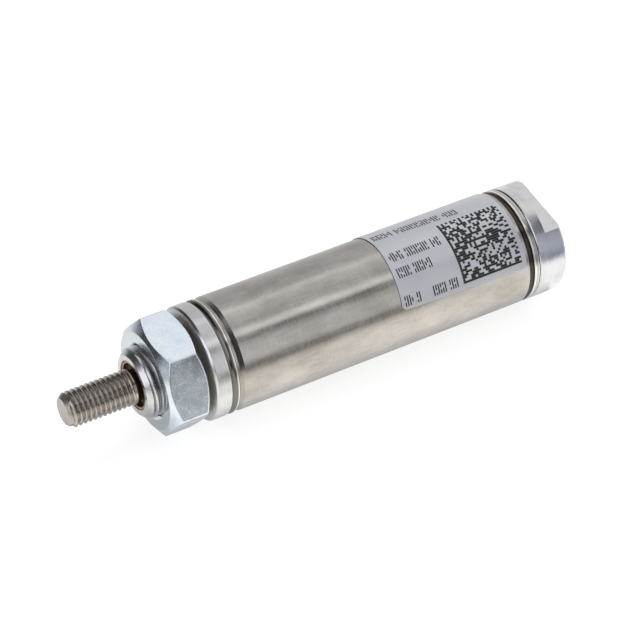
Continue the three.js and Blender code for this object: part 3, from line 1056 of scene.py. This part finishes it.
def code_square(ink, dice):
    """A square of random modules with a solid border on two sides."""
    side = 28
    size = 12.1
    share_dark = 0.57
    gap = 0.012
    x0 = 25.75
    y0 = math.radians(1.0) * LABEL_OUTER
    cell = size / side
    dark = [[dice.random() < share_dark for _ in range(side)] for _ in range(side)]
    for row in range(side):
        dark[row][0] = True
        dark[row][side - 1] = row % 2 == 1
        dark[0][row] = row % 2 == 0
        dark[side - 1][row] = True
    for row in range(side):
        column = 0
        while column < side:
            if not dark[row][column]:
                column += 1
                continue
            start = column
            while column < side and dark[row][column]:
                column += 1
            y = y0 + row * cell
            ink.bar(x0 + start * cell, x0 + column * cell, y + gap, y + cell - gap)


SIGN_HEIGHT = 1.85
SIGN_WIDTH = 0.7
SIGN_STROKE = 0.23
SIGN_SPACE = 0.6
# The short blocks beside a sign's tall upright: each one's two ends, as shares of the height.
SIGN_BLOCKS = (
    ((0.0, 0.4), (0.6, 1.0)), ((0.3, 0.7),), ((0.0, 0.25), (0.5, 1.0)), ((0.0, 0.5), (0.75, 1.0)),
)


def sign(ink, dice, x, y):
    """One sign that is no letter or digit: a tall upright, and short blocks that stand clear of it."""
    tall, short = dice.sample((x, x + SIGN_WIDTH - SIGN_STROKE), 2)
    ink.bar(tall, tall + SIGN_STROKE, y, y + SIGN_HEIGHT)
    for start, end in dice.choice(SIGN_BLOCKS):
        ink.bar(short, short + SIGN_STROKE, y + start * SIGN_HEIGHT, y + end * SIGN_HEIGHT)


def sign_row(ink, dice, x0, x1, degrees, groups, lean=0.0):
    """A row of signs from x0 to x1; `groups` are the counts between spaces, `lean` the drop per mm."""
    y = math.radians(degrees) * LABEL_OUTER - SIGN_HEIGHT / 2
    total = sum(groups) + SIGN_SPACE * (len(groups) - 1)
    step = (x1 - x0) / total
    x = x0
    for count in groups:
        for _ in range(count):
            sign(ink, dice, x, y + lean * (x - x0))
            x += step
        x += SIGN_SPACE * step


def label_print(material):
    dice = random.Random(41)
    ink = Print()
    code_square(ink, dice)
    sign_row(ink, dice, 14.4, 31.4, -14.5, (4, 9, 3), lean=0.05)
    sign_row(ink, dice, 14.3, 24.7, 18.0, (3, 5, 2))
    sign_row(ink, dice, 14.3, 21.3, 35.5, (3, 4))
    sign_row(ink, dice, 13.9, 17.3, 63.0, (2, 1))
    sign_row(ink, dice, 19.7, 24.9, 63.0, (3, 2))
    return place(ink.shape.mesh("label_print"), material, BODY_OF["id_label"])


# ---------------------------------------------------------------- stage, light and camera


QUAD = [(0, 1, 2, 3)]


def rectangle(x0, x1, y0, y1, z):
    return [(x0, y0, z), (x1, y0, z), (x1, y1, z), (x0, y1, z)]


def set_piece(name, points, faces, material):
    """A piece of the set around the object."""
    data = bpy.data.meshes.new(name)
    data.from_pydata(points, [], faces)
    data.materials.append(material)
    return in_scene(name, data)


def floor(low):
    """A wide pale floor under the object."""
    half = 3.0
    material = bpy.data.materials.new("floor_paper")
    material.use_nodes = True
    shader = material.node_tree.nodes["Principled BSDF"]
    shader.inputs["Base Color"].default_value = (0.4, 0.4, 0.4, 1)
    shader.inputs["Roughness"].default_value = 0.9
    shader.inputs["Specular IOR Level"].default_value = 0.1
    shader.inputs["Emission Color"].default_value = (1, 1, 1, 1)
    shader.inputs["Emission Strength"].default_value = 0.8
    set_piece("floor", rectangle(-half, half, -half, half, low), QUAD, material)


# What the studio looks like around the axis: (angle from +Z towards -Y, brightness).
STUDIO = [
    (-180, 0.44), (-150, 0.66), (-134, 0.90), (-126, 0.97), (-108, 0.79), (-92, 0.62), (-62, 0.57),
    (-44, 0.57), (-36, 0.62), (-31, 0.88), (-26, 1.0), (-20, 0.80), (2, 0.62), (13, 0.55),
    (18, 0.9), (21, 1.2), (28, 1.2), (31, 0.24), (40, 0.24), (45, 0.55), (56, 0.70), (80, 0.77),
    (87, 0.27), (93, 0.18), (98, 0.66), (102, 1.02), (118, 1.18), (128, 1.12), (134, 0.96),
    (140, 0.75), (150, 0.5), (180, 0.44),
]
STUDIO_TOP = 1.3
# The floor in front of the object gives a warm light.
WARM = (1.0, 0.975, 0.915)
WARM_FLOOR = (95, 132)
# The same for the card beyond the rear cap, which is blue-grey on the label's side.
CAP_LIGHT = [
    (-100, 0.97), (-78, 0.95), (-61, 0.79), (-44, 0.80), (-28, 0.80), (-12, 0.84), (4, 0.87),
    (14, 0.80), (17, 0.50), (22, 0.30), (28, 0.04), (43, 0.02), (49, 0.33), (68, 0.47), (85, 0.38),
    (96, 0.25), (98, 1.25), (112, 1.3),
]
CAP_BLUE = (0.90, 0.96, 1.15)
CAP_BLUE_SIDE = (16, 97)
# The rod's end of the room is dark above the floor, with one soft box low on that side.
DARK_END = (0.05, 0.05, 0.053)
END_BOX = (-0.915, -0.177, 0.362)
END_BOX_LIGHT = (1.27, 1.29, 1.33)
# The port's end of the room is a bright wall.
FAR_WALL = (1.1, 1.1, 1.1)


def light_around(f, toward, levels, tint, tinted):
    """Colour by the angle of `toward` around the axis, tinted between two angles."""
    _, y, z = f.split(toward)
    stops = []
    for degrees, level in levels:
        shares = tint if tinted[0] < degrees < tinted[1] else (1, 1, 1)
        stops.append(((degrees + 180) / 360, [level / STUDIO_TOP * share for share in shares]))
    ramp = f.ramp(f.span(f.around(y, z), -math.pi, math.pi, 0.0, 1.0), stops)
    return f.mix(1.0, ramp, [STUDIO_TOP] * 3, "MULTIPLY")


def studio_light(f, toward):
    """Colour of the studio as seen from the object in the direction of the vector `toward`."""
    unit = f.node("ShaderNodeVectorMath", operation="NORMALIZE")
    f.feed(unit.inputs[0], toward)
    toward = unit.outputs[0]
    x, _, z = f.split(toward)
    box = f.node("ShaderNodeVectorMath", operation="DOT_PRODUCT")
    f.feed(box.inputs[0], toward)
    box.inputs[1].default_value = Vector(END_BOX).normalized()
    in_box = f.span(box.outputs["Value"], 0.905, 0.955, 0, 1, "SMOOTHSTEP")
    above = f.span(z, -0.12, 0.0, 0, 1)
    overhead = f.span(z, 0.86, 0.95, 1, 0, "SMOOTHSTEP")
    rodward = f.span(x, -0.04, -0.26, 0, 1, "SMOOTHSTEP")
    around = light_around(f, toward, STUDIO, WARM, WARM_FLOOR)
    end = f.mix(in_box, DARK_END, END_BOX_LIGHT)
    room = f.mix(f.times(f.times(above, overhead), rodward), around, end)
    wall = f.times(f.span(x, 0.5, 0.68, 0, 1, "SMOOTHSTEP"), above)
    return f.mix(wall, room, FAR_WALL)


def studio():
    """World light by direction: soft boxes around the axis with dark gaps between them."""
    world = bpy.data.worlds.new("studio")
    bpy.context.scene.world = world
    world.use_nodes = True
    f = Nodes(world.node_tree)
    direction = f.node("ShaderNodeTexCoord").outputs["Generated"]
    f.feed(f.tree.nodes["Background"].inputs["Color"], studio_light(f, direction))


def card(name, points, faces, light):
    """A glowing card that only reflections see. `light` gives its colour from the card's nodes."""
    material = bpy.data.materials.new(name)
    material.use_nodes = True
    f = Nodes(material.node_tree)
    f.tree.nodes.clear()
    out = f.node("ShaderNodeOutputMaterial")
    glow = f.node("ShaderNodeEmission")
    f.feed(glow.inputs["Color"], light(f))
    f.feed(out.inputs["Surface"], glow.outputs[0])
    made = set_piece(name, points, faces, material)
    made.visible_camera = False
    made.visible_diffuse = False
    made.visible_shadow = False
    made.visible_transmission = False


def floor_card(low):
    """Just above the floor: the floor as the object's metal sees it, with the studio's bands."""
    half = 1.5
    points = rectangle(-half, half, -half, half, low + 5e-5)
    card("floor_card", points, QUAD, lambda f: studio_light(f, f.point()))


def cap_flag():
    """A glowing card bent around the object beyond the rear cap: white above, blue-grey on the label's
    side.
    """
    radius, front, rear = 26.0, 49.4, 75.0
    steps = 60
    angles = np.radians(np.linspace(-100.0, 112.0, steps))
    edges = [polar(np.full(steps, x), radius, angles) for x in (front, rear)]
    points = [tuple(p) for p in np.concatenate(edges) * MM]
    faces = [(i, i + 1, steps + i + 1, steps + i) for i in range(steps - 1)]
    look = CAP_LIGHT, CAP_BLUE, CAP_BLUE_SIDE
    card("cap_flag", points, faces, lambda f: light_around(f, f.point(), *look))


def floor_sheet(name, low, x0, x1, y0, y1, colour):
    """A glowing sheet on the floor with one flat colour, seen only in reflections."""
    card(name, rectangle(x0, x1, y0, y1, low + 1e-4), QUAD, lambda f: (*colour, 1))


def key_light():
    data = bpy.data.lights.new("key", "AREA")
    data.shape = "DISK"
    data.size = 0.9
    data.energy = 3.2
    light = in_scene("key", data)
    light.location = (-0.05, 0.35, 0.85)
    light.rotation_euler = (Vector((0, 0, 0)) - light.location).to_track_quat("-Z", "Y").to_euler()
    light.visible_glossy = False
    light.visible_camera = False


def camera():
    """The photograph's viewing angle."""
    azimuth = math.radians(-30.56)
    elevation = math.radians(39.68)
    distance = 0.4697
    target = Vector((0.00173, -0.00113, 0))
    back = Vector((
        math.sin(azimuth) * math.cos(elevation),
        -math.cos(azimuth) * math.cos(elevation),
        math.sin(elevation),
    ))
    data = bpy.data.cameras.new("camera")
    data.lens = 152.6
    data.sensor_width = 36
    data.clip_start = 0.01
    view = in_scene("camera", data)
    view.location = target + back * distance
    view.rotation_euler = (-back).to_track_quat("-Z", "Y").to_euler()
    bpy.context.scene.camera = view


# The front head's thread and groove, which get painted shade on their floors: (front, rear, floor
# radius, rim radius).
HEAD_RECESSES = ((-33.5, -24.6, 5.62, 6.2), (-20.7, -12.0, 9.42, 10.1))


def build():
    aluminium = turned_aluminium()
    zinc = zinc_plate()
    rubber = black_rubber()
    rings = {"spring_steel": spring_steel(), "acetal": white_acetal(), "rubber": rubber}
    front_head(turned_aluminium("threaded_aluminium", HEAD_RECESSES, HEAD_SHOULDER))
    nose_bushing(sintered_bronze())
    barrel_tube(tube_steel())
    rear_cap(aluminium)
    mounting_nut(zinc)
    piston_rod(rod_steel())
    return_spring(rings["spring_steel"])
    inner_rings(rings)
    piston(aluminium)
    cup_seal(rubber)
    lock_nut(zinc)
    label_sheet(silver_label())
    label_print(print_ink())


camera()
build()
ground = cad_box[0][2]
floor(ground)
floor_card(ground)
cap_flag()
floor_sheet("cap_sheet", ground, 0.0475, 0.085, -0.075, -0.004, (1.22, 1.22, 1.19))
floor_sheet("rod_sheet", ground, -0.12, -0.049, -0.1, 0.004, (1.05, 1.02, 0.97))
studio()
key_light()
bpy.context.scene.view_settings.view_transform = "Standard"
